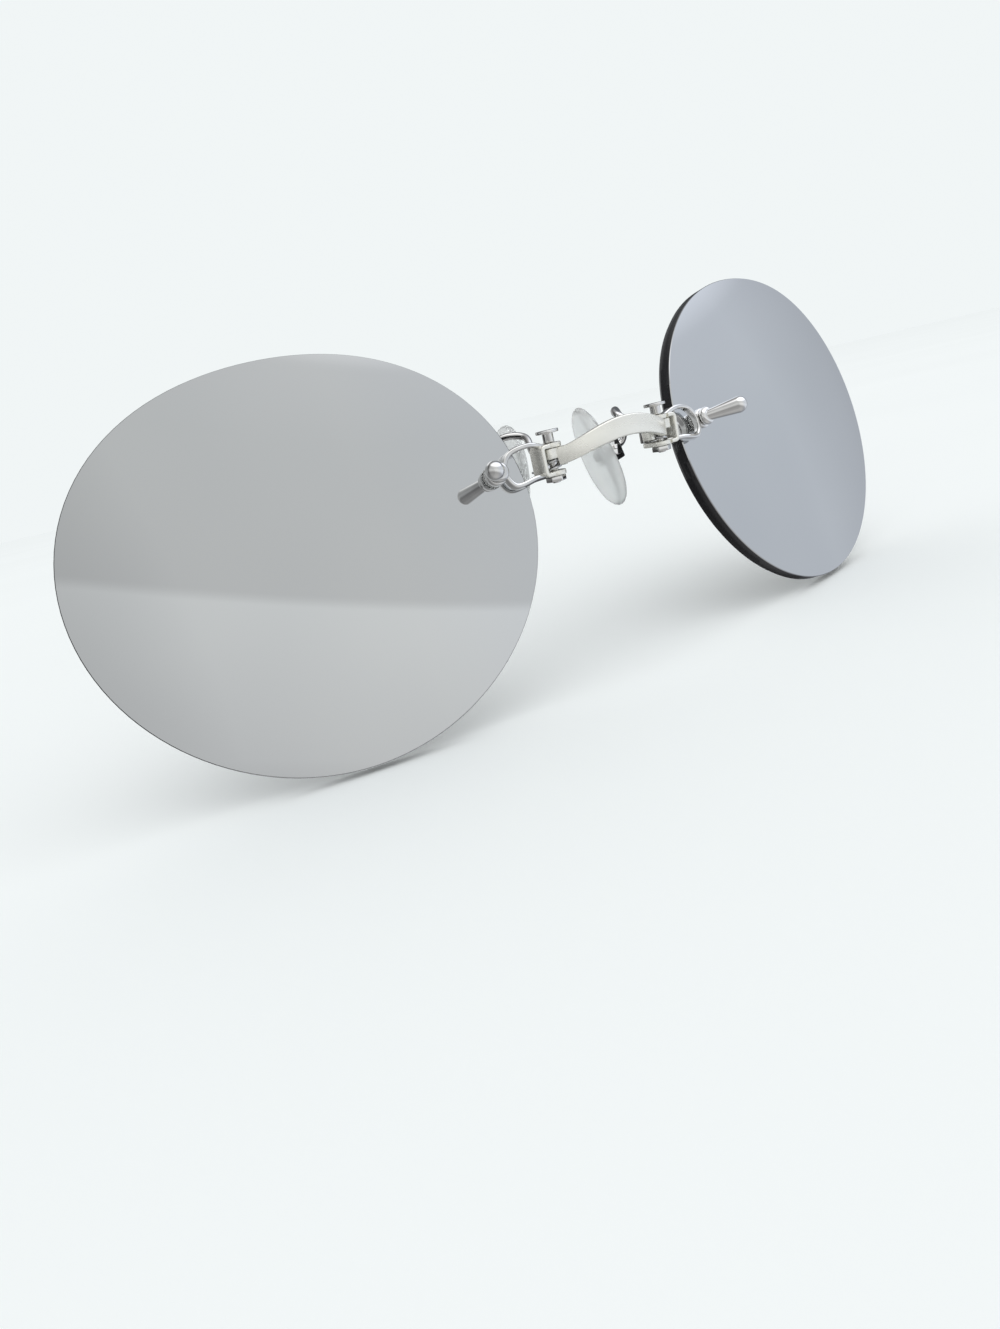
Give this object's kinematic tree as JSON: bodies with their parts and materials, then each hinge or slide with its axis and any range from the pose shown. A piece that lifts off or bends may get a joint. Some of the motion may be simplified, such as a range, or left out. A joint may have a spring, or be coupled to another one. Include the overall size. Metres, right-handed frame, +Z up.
{
  "type": "nose clip sunglasses",
  "caption": "Pince-nez sunglasses: oval mirrored rimless lenses on sprung forks hinged to an arched silver bridge bar, with finger posts to open the nose pads.",
  "frame": {"origin": "midway between the two nose pads' pivots, where the nose is gripped", "axes": "+X to the viewer's right across the lenses, +Y from the front towards the face, +Z up along the hinge screws"},
  "size_m": [0.1114, 0.019, 0.04],
  "materials": {
    "mirror_lens": "silver mirror coating on a dark smoke lens, polished",
    "silver_metal": "polished silver plating",
    "spring_steel": "drawn spring wire",
    "clear_silicone": "clear, soft, glossy",
    "clear_nylon": "clear, smooth"
  },
  "bodies": {
    "bridge": {"bridge_bar": "silver_metal", "left_hinge_spring": "spring_steel", "right_hinge_spring": "spring_steel"},
    "left_side": {"left_lens": "mirror_lens", "left_fork": "silver_metal", "left_finger_post": "silver_metal", "left_lens_screw": "silver_metal", "left_lens_bush": "clear_nylon", "left_front_washer": "clear_nylon", "left_rear_washer": "clear_nylon", "left_hinge_screw": "silver_metal", "left_hinge_nut": "silver_metal", "left_pad_arm": "silver_metal", "left_pad_screw": "silver_metal"},
    "left_pad": {"left_nose_pad": "clear_silicone"},
    "right_side": {"right_lens": "mirror_lens", "right_fork": "silver_metal", "right_finger_post": "silver_metal", "right_lens_screw": "silver_metal", "right_lens_bush": "clear_nylon", "right_front_washer": "clear_nylon", "right_rear_washer": "clear_nylon", "right_hinge_screw": "silver_metal", "right_hinge_nut": "silver_metal", "right_pad_arm": "silver_metal", "right_pad_screw": "silver_metal"},
    "right_pad": {"right_nose_pad": "clear_silicone"}
  },
  "joints": [
    {"name": "left_swing", "type": "hinge", "parent": "bridge", "child": "left_side", "pos_m": [-0.00745, -0.01046, 0.00165], "axis": [0, 0, 1], "range_deg": [0, 30], "stiffness_Nm_per_rad": 0.012, "springref_deg": -34.38, "deforming": ["left_hinge_spring"]},
    {"name": "left_pad_rock", "type": "hinge", "parent": "left_side", "child": "left_pad", "pos_m": [-0.00875, 0, 0], "axis": [-0.1736, 0.9848, 0], "range_deg": [-12, 12]},
    {"name": "right_swing", "type": "hinge", "parent": "bridge", "child": "right_side", "pos_m": [0.00745, -0.01046, 0.00165], "axis": [0, 0, -1], "range_deg": [0, 30], "stiffness_Nm_per_rad": 0.012, "springref_deg": -34.38, "deforming": ["right_hinge_spring"]},
    {"name": "right_pad_rock", "type": "hinge", "parent": "right_side", "child": "right_pad", "pos_m": [0.00875, 0, 0], "axis": [0.1736, 0.9848, 0], "range_deg": [-12, 12]}
  ]
}
